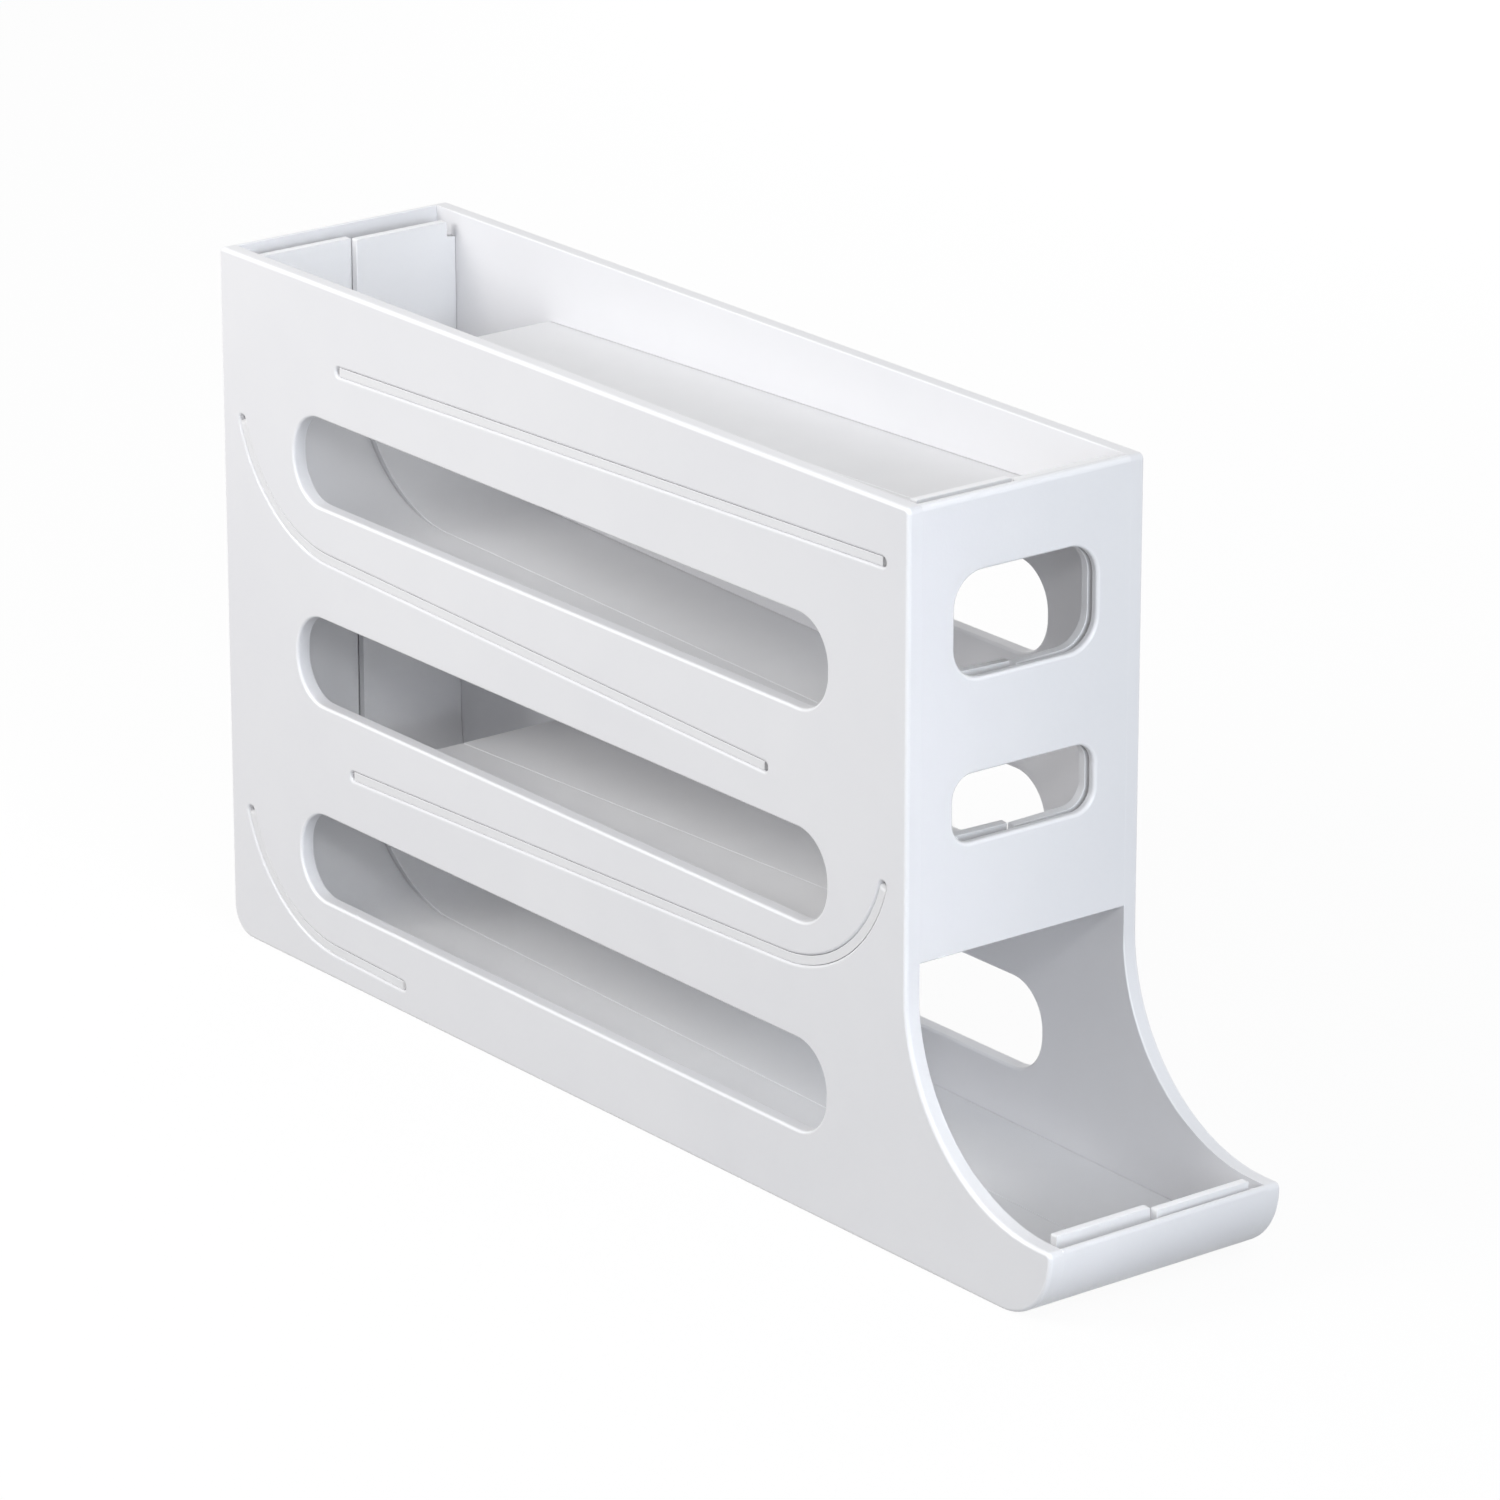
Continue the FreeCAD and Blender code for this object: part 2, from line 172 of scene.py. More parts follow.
# %% [markdown]
# Plates with soft edges
#
# A moulded plate has no sharp edge: the mould's corners are rounded, and the thin bright lines round
# every window in a studio picture are those rounds catching the light. A Bevel modifier could round a
# cut plate, but it stumbles where slots and windows crowd together. Here the round is built in: an
# edge profile (quarter circle, wall, quarter circle) is carried round each outline, and the two flat
# faces are filled between the outlines. The radius may change along an outline, because an edge that
# meets another wall is sharp there. The profile's normals are known, so the flats stay perfectly flat
# and the rounds perfectly smooth.

# %% Plate builder
ROUND_STEPS = 6             # facets of each rounded edge


def rounded(path, front, back, pale=1.0):
    """A loop for a plate: a path with the reach of the rounds on its front and back edges.

    A reach is radius * right, one vector for each point; the radius is one value or one for each point.
    The last value says how much of the painted highlight, a paler colour, and of the polish the rounds get.
    """
    points, rights = path
    return points, rights, rights * np.reshape(front, (-1, 1)), rights * np.reshape(back, (-1, 1)), pale


def edge_band(loop, thickness):
    """Points and normals of the edge of a plate, one row for each point of the loop.

    A round is a quarter circle: inset reach * (1 - sin a), depth |reach| * (1 - cos a), and its normal
    is right * sin a, with -cos a through the plate. The back edge is the same, turned over.
    """
    points, rights, front, back, pale = loop
    a = np.linspace(0.0, math.pi / 2, ROUND_STEPS + 1)
    insets = []
    depths = []
    for reach in (front, back):
        insets.append(reach[:, None, :] * (1 - np.sin(a))[None, :, None])
        depths.append(np.outer(np.linalg.norm(reach, axis=1), 1 - np.cos(a)))
    inset = np.concatenate([insets[0], insets[1][:, ::-1]], axis=1)
    depth = np.concatenate([depths[0], thickness - depths[1][:, ::-1]], axis=1)
    sideways = np.concatenate([np.sin(a), np.sin(a)[::-1]])
    inwards = np.concatenate([-np.cos(a), np.cos(a)[::-1]])
    spots = np.concatenate([points[:, None, :] - inset, depth[:, :, None]], axis=2)
    lean = rights[:, None, :] * sideways[None, :, None]
    tilt = np.broadcast_to(inwards, depth.shape)[:, :, None]
    # Weight of the painted highlight (a paler colour) and of the polish, highest halfway round a round.
    highlight_and_polish = np.broadcast_to(pale * 2 * sideways * np.abs(inwards), depth.shape)
    return spots, np.concatenate([lean, tilt], axis=2), highlight_and_polish


def fill(rings, facing):
    """Triangles that fill flat rings, the first round the others, all turned the same way."""
    flat = [[Vector((u, v, 0.0)) for u, v in ring] for ring in rings]
    spots = np.concatenate(rings)
    triangles = np.array(tessellate_polygon(flat))
    first, second, third = (spots[triangles[:, corner]] for corner in range(3))
    area = np.cross(second - first, third - first)
    wrong = area * facing < 0
    triangles[wrong] = triangles[wrong][:, ::-1]
    return triangles


def make_piece(name, points, faces, normals, rims):
    """A smooth mesh from arrays of points, faces and normals; rims says how much a point is on an edge,
    where the material paints a paler colour as a painted highlight.
    """
    mesh = bpy.data.meshes.new(name)
    mesh.from_pydata(points, [], [face for block in faces for face in block.tolist()], shade_flat=False)
    mesh.validate()
    mesh.normals_split_custom_set_from_vertices(normals)
    rim = mesh.attributes.new("rim", "FLOAT", "POINT")
    rim.data.foreach_set("value", rims.astype(np.float32))
    piece = bpy.data.objects.new(name, mesh)
    bpy.context.scene.collection.objects.link(piece)
    print(name, len(mesh.vertices), "points,", len(mesh.polygons), "faces")
    return piece


def plate(name, loops, thickness, origin, u_axis, v_axis, depth_axis):
    """A closed plate: edge bands round its loops, and two flat faces between them.

    Each loop comes from rounded(), drawn with the material on its left.
    A point of the plate is origin + u * u_axis + v * v_axis + depth * depth_axis.
    """
    axes = np.array([u_axis, v_axis, depth_axis], float)
    spots = []
    normals = []
    rims = []
    quads = []
    rings = {0: [], -1: []}
    ring_index = {0: [], -1: []}
    base = 0
    for loop in loops:
        band, lean, highlight_and_polish = edge_band(loop, thickness)
        spots.append(band.reshape(-1, 3))
        normals.append(lean.reshape(-1, 3))
        rims.append(highlight_and_polish.ravel())
        index = base + np.arange(highlight_and_polish.size).reshape(highlight_and_polish.shape)
        following = np.roll(index, -1, axis=0)
        corners = [index[:, :-1], following[:, :-1], following[:, 1:], index[:, 1:]]
        quads.append(np.stack(corners, axis=2).reshape(-1, 4))
        for face in (0, -1):
            rings[face].append(band[:, face, :2])
            ring_index[face].append(index[:, face])
        base += highlight_and_polish.size
    front = np.concatenate(ring_index[0])[fill(rings[0], -1)]
    back = np.concatenate(ring_index[-1])[fill(rings[-1], 1)]
    faces = [np.concatenate(quads), front, back]
    if np.linalg.det(axes) < 0:
        faces = [block[:, ::-1] for block in faces]
    world = np.array(origin, float) + np.concatenate(spots) @ axes
    return make_piece(name, world, faces, np.concatenate(normals) @ axes, np.concatenate(rims))


print("an edge has", 2 * ROUND_STEPS + 1, "facets from face to face")

# %% [markdown]
# The side walls
#
# Each long side is one moulding: a level base, a swept cut in front that bares the outlet, and a
# quarter-round nose. Three long windows show how full the holder is. Between them run narrow slots,
# into which the runners plug; three of the slots curl up at one end with the runner's own bend. The
# slots are drawn along the runners' middle lines, measured from the runners' boxes in the frame. A
# slot's outer edge is well rounded: its upper round turns away from the light and its lower one
# towards it, which is what makes a slot show as a dark line above a bright one.

# %% Outline and windows of a side
SIDE_ROUND = 1.2 * MM
SIDE_INNER_ROUND = 0.45 * MM
SEAM_ROUND = 0.04 * MM      # an edge that meets another wall
SEAM_REACH = 8.0 * MM       # how far past that wall the edge stays sharp
SEAM_RUN = 12.0 * MM
WINDOW_ROUND = 0.9 * MM
WINDOW_SILL = 23.2 * MM
WINDOW_PITCH = 60.95 * MM
WINDOW_H = 26.9 * MM
WINDOW_CORNER_R = 12.6 * MM
WINDOW_FRONT = FRONT_Y + 34.2 * MM
WINDOW_REAR = REAR_Y - 36.2 * MM


def side_outline():
    """Outline of a side, from the front end of its base and back, with the wall on the left."""
    r = TOP_CORNER_R
    base = REAR_Y - REAR_CORNER_R - NOSE_Y - NOSE_R
    return draw((NOSE_Y + NOSE_R, 0.0), 0, [
        (2 * SEAM_RUN,),
        (base - 2 * SEAM_RUN,),
        (REAR_CORNER_R, 90),
        (RIM_Z - r - REAR_CORNER_R,),
        (r, 90),
        (SEAM_RUN,),
        (REAR_Y - FRONT_Y - 2 * r - 2 * SEAM_RUN,),
        (SEAM_RUN,),
        (r, 90),
        (RIM_Z - r - LIP_TOP - CHUTE_R,),
        (CHUTE_R, -90),
        (LIP_FLAT - r,),
        (r, 90),
        (LIP_TOP - r - NOSE_R,),
        (NOSE_R, 90),
    ])


def inner_round(points):
    """Radius of a side's inner edge: the seam's near the walls that meet the side, else the plain one."""
    meets = np.zeros(len(points), bool)
    for node in ("front_panel", "rear_panel", "outlet_lip"):
        low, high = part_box(node)
        near = (points > np.array(low)[1:] - SEAM_REACH) & (points < np.array(high)[1:] + SEAM_REACH)
        meets |= near.all(axis=1)
    return np.where(meets, SEAM_ROUND, SIDE_INNER_ROUND)


def side_windows():
    """The three level windows, from the lowest up."""
    moves = window_moves(WINDOW_REAR - WINDOW_FRONT, WINDOW_H, WINDOW_CORNER_R)
    tops = WINDOW_SILL + WINDOW_H + WINDOW_PITCH * np.arange(3)
    return [draw((WINDOW_FRONT + WINDOW_CORNER_R, top), 0, moves) for top in tops]


print("outline of a side has", len(side_outline()[0]), "points")

# %% [markdown]
# The runners' lines
#
# A runner is a sheet of one thickness, so its middle line says where it goes, where its slot in the
# side is and how long it is. The line could be traced from the mesh of the node; it is simpler to
# draw it, because the node's box, the slope and the radius of the bend leave nothing open.

# %% Middle lines
RUNNER_T = 2.6 * MM
HALF_T = RUNNER_T / 2
SLOPE = 1.6                 # degrees
OUTLET_SLOPE = 1.0
BEND_R = 46.0 * MM
LIP_BEND_R = 14.8 * MM
LIP_PLATE_OVER_LIP = 1.0 * MM
TIERS = (1, 2, 3, 4)        # from the top down


def runner_path(tier, side):
    """Start, heading and moves of a runner's middle line, from the runner's box and its slope."""
    low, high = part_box("tier_%d_runner_%s" % (tier, side))
    lean = math.radians(OUTLET_SLOPE if tier == 4 else SLOPE)
    bend_reach = BEND_R * (1 - math.sin(lean))
    bend_rise = BEND_R * math.cos(lean)
    turn = 90 - math.degrees(lean)
    if tier == 1:
        run = high.y - low.y - RUNNER_T
        return (high.y - HALF_T, low.z + HALF_T), 180 - SLOPE, [(run / math.cos(lean),)]
    if tier in (2, 3):
        run = high.y - low.y - RUNNER_T - bend_reach
        plate_run = high.z - low.z - RUNNER_T - run * math.tan(lean) - bend_rise
        moves = [(run / math.cos(lean),), (BEND_R, turn if tier == 2 else -turn), (plate_run,)]
        if tier == 2:
            return (low.y + HALF_T, low.z + HALF_T), SLOPE, moves
        return (high.y - HALF_T, low.z + HALF_T), 180 - SLOPE, moves
    seat = low.z + HALF_T + LIP_BEND_R * (1 - math.cos(lean))
    top = LIP_TOP + LIP_PLATE_OVER_LIP - HALF_T
    run = high.y - low.y - RUNNER_T - LIP_BEND_R * (1 + math.sin(lean)) - bend_reach
    guide = high.z - HALF_T - seat - run * math.tan(lean) - bend_rise
    return (low.y + HALF_T, top), -90, [
        (top - seat - LIP_BEND_R * math.cos(lean),),
        (LIP_BEND_R, 90 + OUTLET_SLOPE),
        (run / math.cos(lean),),
        (BEND_R, turn),
        (guide,),
    ]


def move_length(move):
    """Length of a run, or of a bend: radius * turn."""
    return move[0] if len(move) == 1 else move[0] * math.radians(abs(move[1]))


def path_length(path):
    """Length of all the moves of a path."""
    return sum(move_length(move) for move in path[2])


def along(path, s):
    """Points of a path and unit vectors to its right, at distances s along it.

    A run is spot + t * heading, a bend hub + radius * right(heading + t / radius). Past its ends the path
    goes straight on.
    """
    spot, heading, moves = np.array(path[0], float), math.radians(path[1]), path[2]
    points = np.zeros((len(s), 2))
    rights = np.zeros((len(s), 2))
    begun = -math.inf
    done = 0.0
    for move in moves:
        here = s >= begun
        t = np.append(s[here] - done, move_length(move))
        if len(move) == 1:
            angle = np.full(len(t), heading)
            line = spot + t[:, None] * np.array([math.cos(heading), math.sin(heading)])
        else:
            reach = math.copysign(*move)
            angle = heading + t / reach
            line = spot + reach * (right_of(angle) - right_of(heading))
        points[here] = line[:-1]
        rights[here] = right_of(angle[:-1])
        spot, heading = line[-1], angle[-1]
        done += t[-1]
        begun = done
    return points, rights


for tier in TIERS:
    path = runner_path(tier, "left")
    print("tier", tier, "is", round(path_length(path), 4), "long in", len(path[2]), "moves")

# %% Slots for the runners
SLOT_W = 2.84 * MM
SLOT_END_GAP = 1.0 * MM
SLOT_TURN = 71.5            # degrees of a bend that the slot follows
OUTLET_SLOT = 87.0 * MM     # start of the lowest slot, from the rear
SLOT_ROUND = 0.9 * MM
SLOT_INNER_ROUND = 0.1 * MM


def tenon_span(tier, path):
    """Start and end of a runner's tenon, and the end of the run that it is on, as distances along it."""
    lengths = [move_length(move) for move in path[2]]
    first, run_end = 0.0, lengths[0]
    if tier == 4:
        ramp = lengths[0] + lengths[1]
        ramp_y = along(path, np.array([ramp]))[0][0, 0]
        first = ramp + (REAR_Y - OUTLET_SLOT - ramp_y) / math.cos(math.radians(OUTLET_SLOPE))
        run_end = ramp + lengths[2]
    last = run_end if tier == 1 else run_end + BEND_R * math.radians(SLOT_TURN)
    return first, last, run_end


def runner_slot(tier, side):
    """One slot, drawn round the middle line of a runner and a little past its tenon."""
    path = runner_path(tier, side)
    first, last, run_end = tenon_span(tier, path)
    past = SLOT_END_GAP - HALF_T
    if tier == 1:
        moves = [(last - first + 2 * past,)]
    else:
        turn = math.degrees((last + past - run_end) / BEND_R)
        moves = [(run_end - first + past,), (BEND_R, -turn if tier == 3 else turn)]
    points, rights = along(path, np.array([first - past]))
    heading = math.degrees(math.atan2(rights[0, 0], -rights[0, 1]))
    edge = points[0] - rights[0] * SLOT_W / 2
    return draw(edge, heading, slot_moves(moves, SLOT_W, -1))


print("the slot of the second runner has", len(runner_slot(2, "left")[0]), "points")

# %% Build both sides
SIDES = (("left", -1), ("right", 1))    # each side's name and its way out along X


def side_wall(side, out):
    """A side with its windows and slots; out is -1 for the left and 1 for the right."""
    outline = side_outline()
    # The rounds of the outline and the windows get the painted highlight; the slots' rounds get none.
    loops = [rounded(outline, SIDE_ROUND, inner_round(outline[0]))]
    loops += [rounded(window, WINDOW_ROUND, WINDOW_ROUND) for window in side_windows()]
    loops += [rounded(runner_slot(tier, side), SLOT_ROUND, SLOT_INNER_ROUND, 0.0) for tier in TIERS]
    face = (out * OUTER_X, 0, 0)
    piece = plate(side + "_side_wall", loops, SIDE_T, face, (0, 1, 0), (0, 0, 1), (-out, 0, 0))
    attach(piece, "root")
    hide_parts(side + "_side_panel")
    return piece


side_walls = [side_wall(side, out) for side, out in SIDES]

# %% [markdown]
# The cross walls
#
# The front, the rear and the lip join the two sides. They stand flush with the sides' edges, so no
# step shows from outside, and only their free edges are rounded; where a wall meets a side its edge
# is sharp. The front has two windows. The lip is one bent strip, so its section is drawn in the side
# view and carried across the width.

# %% Front and rear
WALL_LOW_ROUND = 0.8 * MM
WALL_BACK_ROUND = 0.3 * MM
WALL_SEAM_RUN = 3.0 * MM    # from a free edge to where the wall's end is sharp
FRONT_WINDOW_ROUND = 1.1 * MM
FRONT_WINDOW_W = 49.0 * MM
FRONT_WINDOWS = (           # height of the top edge, height of the window, corner radius
    (190.85 * MM, 29.8 * MM, 9.5 * MM),
    (134.35 * MM, 19.3 * MM, 6.5 * MM),
)


def wall_loop(bottom, top):
    """Upright rectangle between the sides as a loop, with rounded free edges and sharp ends.

    Each end has four rows: the two corners, which carry the rounds of the free edges, and two rows a
    little inside them, where the reach is only the seam's, sideways.
    """
    inner = [bottom + WALL_SEAM_RUN, top - WALL_SEAM_RUN]
    heights = np.array([bottom, bottom, *inner, top, top, *inner[::-1]])
    sides = np.array([-1, 1, 1, 1, 1, -1, -1, -1])
    points = np.stack([sides * INSIDE_X, heights], axis=1)
    rights = np.array([(0, -1), (0, -1), (1, 0), (1, 0), (0, 1), (0, 1), (-1, 0), (-1, 0)], float)
    seam = np.stack([sides * SEAM_ROUND, np.zeros(len(sides))], axis=1)
    free = np.abs(rights[:, 1:])
    outer = np.where(heights == top, TOP_CORNER_R, WALL_LOW_ROUND)[:, None]
    # The last value gives the rounds the full painted highlight, a paler colour.
    return points, rights, rights * free * outer + seam, rights * free * WALL_BACK_ROUND + seam, 1.0


def cross_wall(name, node, windows, outer_y, depth_axis):
    """A plate across the width, with its softer edges on the outside."""
    low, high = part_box(node)
    loops = [wall_loop(low.z, high.z)]
    for top, height, radius in windows:
        start = (-FRONT_WINDOW_W / 2 + radius, top)
        window = draw(start, 0, window_moves(FRONT_WINDOW_W, height, radius))
        loops.append(rounded(window, FRONT_WINDOW_ROUND, WALL_BACK_ROUND))
    piece = plate(name, loops, high.y - low.y, (0, outer_y, 0), (1, 0, 0), (0, 0, 1), depth_axis)
    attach(piece, "root")
    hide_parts(node)
    return piece


front_wall = cross_wall("front_wall", "front_panel", FRONT_WINDOWS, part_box("front_panel")[0].y, (0, 1, 0))
rear_wall = cross_wall("rear_wall", "rear_panel", (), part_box("rear_panel")[1].y, (0, -1, 0))

# %% Lip
LIP_T = 2.4 * MM
LIP_FOOT = 12.0 * MM


def lip_wall():
    """The bent strip: a short upright, a quarter round and a foot, with round ends."""
    rise = LIP_TOP - LIP_T / 2 - NOSE_R
    moves = [(rise,), (NOSE_R - LIP_T / 2, 90), (LIP_FOOT,)]
    section = draw((NOSE_Y, NOSE_R + rise), -90, slot_moves(moves, LIP_T, 1))
    loops = [rounded(section, SEAM_ROUND, SEAM_ROUND)]
    piece = plate("lip_wall", loops, 2 * INSIDE_X, (-INSIDE_X, 0, 0), (0, 1, 0), (0, 0, 1), (1, 0, 0))
    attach(piece, "root")
    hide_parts("outlet_lip")
    return piece


lip = lip_wall()

# %% [markdown]
# The runners
#
# Each tier is two half-width sheets, one plugged into each side, that meet at the middle. A sheet runs
# down at a slight slope, and where the way turns it bends up into a plate. Such a sheet could be
# pressed flat and bent; here it is moulded. It is made in the same spirit: a section, a thin strip
# with round corners, is carried along the middle line of the runner. Across the width the two ends of
# the section move in and out: out for the tenon in the side's slot, in for the shoulders of a plate
# and for the windows of the front. So one function makes all eight.

# %% Ends of the section
MIDDLE_GAP = 0.1 * MM       # between the two halves of a tier
RUNNER_FIT = 0.12 * MM      # between a runner and the side's inner face
SHOULDER_W = 3.0 * MM       # cut from the outer corner of a plate
SHOULDER_H = 5.0 * MM
STEP_RUN = 0.4 * MM         # distance over which an end of the section steps in or out
WINDOW_TURNS = np.radians(np.linspace(0.0, 90.0, 10))   # on a window's round corner


def outer_knots(tier, side, path):
    """(distance, x) of the outer end: the side's inner face, the tenon, and shoulders at plate tops."""
    low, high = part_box("tier_%d_runner_%s" % (tier, side))
    edge = INSIDE_X - RUNNER_FIT
    tenon = max(abs(low.x), abs(high.x))
    first, last, _ = tenon_span(tier, path)
    knots = [(first, edge), (first + STEP_RUN, tenon), (last - STEP_RUN, tenon), (last, edge)]
    if tier > 1:
        shoulder = path_length(path) + HALF_T - SHOULDER_H
        knots += [(shoulder, edge), (shoulder + STEP_RUN, edge - SHOULDER_W)]
    if tier == 4:
        shoulder = SHOULDER_H - HALF_T
        knots = [(shoulder - STEP_RUN, edge - SHOULDER_W), (shoulder, edge)] + knots
    return np.array(knots)


def inner_knots(tier, path):
    """(distance, x) of the inner end: half the gap at the middle, and half of each window in tier 3."""
    length = path_length(path)
    knots = [np.array([(0.0, MIDDLE_GAP / 2)])]
    if tier == 3:
        plate_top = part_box("tier_3_runner_left")[1].z
        for top, height, radius in reversed(FRONT_WINDOWS):
            middle = length + HALF_T - (plate_top - top + height / 2)
            rise = np.append(height / 2, height / 2 - radius * (1 - np.cos(WINDOW_TURNS)))
            reach = np.append(MIDDLE_GAP / 2, FRONT_WINDOW_W / 2 - radius * (1 - np.sin(WINDOW_TURNS)))
            rise[0] += STEP_RUN
            knots.append(np.stack([middle - rise, reach], axis=1))
            knots.append(np.stack([middle + rise, reach], axis=1)[::-1])
    return np.concatenate(knots)


print("the third runner's inner end has", len(inner_knots(3, runner_path(3, "left"))), "knots")

# %% Sheets
INNER_ROUND = 0.2 * MM      # round of the section at the middle
OUTER_ROUND = 0.15 * MM     # and at the side
END_ROUND = 0.25 * MM       # round of an end of the sheet, seen from the side
CORNER_ROUND = 0.6 * MM     # round of its corners, seen flat on
ROUND_LIMIT = 0.9           # largest corner round, as a share of half the thickness
BEND_STEP = math.radians(4.0)
END_TURNS = np.radians(np.linspace(0.0, 90.0, 7))       # on a rounded end
SECTION_TURNS = np.linspace(0.0, 90.0, 4)               # degrees, on each corner of the section


def sheet_rows(path, knots):
    """Distances along a path at which the section is placed: knots, bends and rounded ends."""
    rows = [knots]
    done = 0.0
    for move in path[2]:
        length = move_length(move)
        count = 2 if len(move) == 1 else math.ceil(length / move[0] / BEND_STEP) + 1
        rows.append(done + np.linspace(0.0, length, count))
        done += length
    for radius in (END_ROUND, CORNER_ROUND):
        reach = HALF_T - radius * (1 - np.sin(END_TURNS))
        rows += [-reach, done + reach]
    return np.unique(np.concatenate(rows).round(7)), done


def end_pull(past, radius):
    """How far a rounded end draws in, at a distance past the end of the path: r - sqrt(r ** 2 - o ** 2)."""
    over = np.clip(past - HALF_T + radius, 0.0, radius)
    return radius - np.sqrt(radius ** 2 - over ** 2)


def section(inner, outer, half):
    """Ring of a strip from inner to outer and half a thickness to each side, with round corners.

    A corner is centre + r * (cos a, sin a); the four corners follow each other anticlockwise.
    """
    a = np.radians(SECTION_TURNS + np.array([[-90.0], [0.0], [90.0], [180.0]])).ravel()
    outwards = np.repeat([1, 1, -1, -1], len(SECTION_TURNS))
    across = np.repeat([-1, 1, 1, -1], len(SECTION_TURNS))
    r = np.minimum(np.where(outwards > 0, OUTER_ROUND, INNER_ROUND), half * ROUND_LIMIT)
    x = np.where(outwards > 0, outer - r, inner + r) + r * np.cos(a)
    depth = across * (half - r) + r * np.sin(a)
    # The third value weights the painted highlight, a paler colour, highest halfway round each corner.
    return x, depth, np.abs(np.sin(2 * a))


def face_normals(corners, blocks):
    """Normals of points as the sum of the areas of their faces, so that large flat faces stay flat.

    The sum of the cross products of a face's corners, one with the next, is twice its area.
    """
    normals = np.zeros_like(corners)
    for faces in blocks:
        ring = corners[faces]
        area = np.cross(ring - ring[:, :1], np.roll(ring, -1, axis=1) - ring[:, :1]).sum(axis=1)
        np.add.at(normals, faces, area[:, None, :])
    return normals / np.linalg.norm(normals, axis=1, keepdims=True)


def sheet(tier, side, out):
    """A section carried along a runner's middle line: (out * x, point + depth * right)."""
    path = runner_path(tier, side)
    outer_at = outer_knots(tier, side, path)
    inner_at = inner_knots(tier, path)
    s, length = sheet_rows(path, np.concatenate([outer_at[:, 0], inner_at[:, 0]]))
    points, rights = along(path, s)
    past = np.maximum(-s, s - length)
    half = HALF_T - end_pull(past, END_ROUND)
    inner = np.interp(s, *inner_at.T) + end_pull(past, CORNER_ROUND)
    outer = np.interp(s, *outer_at.T) - end_pull(past, CORNER_ROUND)
    x, depth, rims = section(inner[:, None], outer[:, None], half[:, None])
    flat = points[:, None, :] + rights[:, None, :] * depth[:, :, None]
    spots = np.concatenate([out * x[:, :, None], flat], axis=2)
    rows, columns = x.shape
    index = np.arange(rows * columns).reshape(rows, columns)
    ring = np.roll(index, -1, axis=1)
    quads = np.stack([index[:-1], ring[:-1], ring[1:], index[1:]], axis=2).reshape(-1, 4)
    ends = np.stack([index[0][::-1], index[-1]])
    if out < 0:
        quads, ends = quads[:, ::-1], ends[:, ::-1]
    corners = spots.reshape(-1, 3)
    normals = face_normals(corners, [quads, ends])
    name = "tier_%d_sheet_%s" % (tier, side)
    # The section's corners and the rounded ends, such as a plate's top, are painted paler: a painted
    # highlight. The runners' finish has no polish, so on them it is only painted.
    highlight_and_polish = np.maximum(rims, end_pull(past, END_ROUND)[:, None] / END_ROUND)
    piece = make_piece(name, corners, [quads, ends], normals, highlight_and_polish.ravel())
    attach(piece, "root")
    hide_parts("tier_%d_runner_%s" % (tier, side))
    return piece


sheets = [sheet(tier, side, out) for tier in TIERS for side, out in SIDES]

# %% [markdown]
# White plastic
#
# Moulded white plastic looks plain, but it is never one flat colour. The colour drifts a little where
# the melt cooled at different speeds, the satin skin is made of fine grain, the walls are a touch wavy,
# and the rounded edges are polished. The rounds are also painted paler than the flats, a painted
# highlight that stands in for light catching them. All but the edges come from noise in Object
# coordinates, which are metres here, so a scale of 1400 is grain under a millimetre across. An image
# would do the same only from near; noise holds at any distance.

# %% Material helpers
NOISE_RANGE = (0.3, 0.7)    # most values of a noise lie here


def colour(red, green, blue):
    """Linear colour of an sRGB colour given in 0 to 255: ((c + 0.055) / 1.055) ** 2.4."""
    share = np.array([red, green, blue]) / 255.0
    linear = np.where(share <= 0.04045, share / 12.92, ((share + 0.055) / 1.055) ** 2.4)
    return (*linear.tolist(), 1.0)


class Finish:
    """A node material in the making: adds nodes and joins them with one call."""

    def __init__(self, name):
        self.material = bpy.data.materials.new(name)
        self.material.use_nodes = True
        self.tree = self.material.node_tree
        self.shader = self.tree.nodes["Principled BSDF"]

    def add(self, kind, settings=None, **inputs):
        """A node of a kind, with its settings and its inputs by name."""
        node = self.tree.nodes.new(kind)
        for key, value in (settings or {}).items():
            setattr(node, key, value)
        for key, value in inputs.items():
            self.put(node.inputs[key.replace("_", " ")], value)
        return node

    def put(self, socket, value):
        """Joins a socket to another node's output, or gives it a plain value."""
        if isinstance(value, bpy.types.NodeSocket):
            self.tree.links.new(value, socket)
        else:
            socket.default_value = value

    def math(self, operation, *values):
        """The result of an operation on plain values and outputs, such as a * b + c."""
        node = self.add("ShaderNodeMath", {"operation": operation})
        for socket, value in zip(node.inputs, values):
            self.put(socket, value)
        return node.outputs[0]

    def noise(self, scale, detail):
        """Noise in Object coordinates; scale is waves for each metre, detail the finer layers on them."""
        place = self.add("ShaderNodeTexCoord").outputs["Object"]
        return self.add("ShaderNodeTexNoise", Vector=place, Scale=scale, Detail=detail).outputs["Fac"]

    def spread(self, value, low, high):
        """A noise stretched from the range that most of it lies in to another range."""
        made = self.add(
            "ShaderNodeMapRange", Value=value,
            From_Min=NOISE_RANGE[0], From_Max=NOISE_RANGE[1], To_Min=low, To_Max=high)
        return made.outputs["Result"]

    def ramp(self, value, low, high):
        """The colour between two colours: low + (high - low) * value."""
        made = self.add("ShaderNodeMix", {"data_type": "RGBA"})
        self.put(made.inputs["Factor"], value)
        self.put(made.inputs["A"], low)
        self.put(made.inputs["B"], high)
        return made.outputs["Result"]


print("a grey of 128 is", round(colour(128, 128, 128)[0], 3), "in linear light")

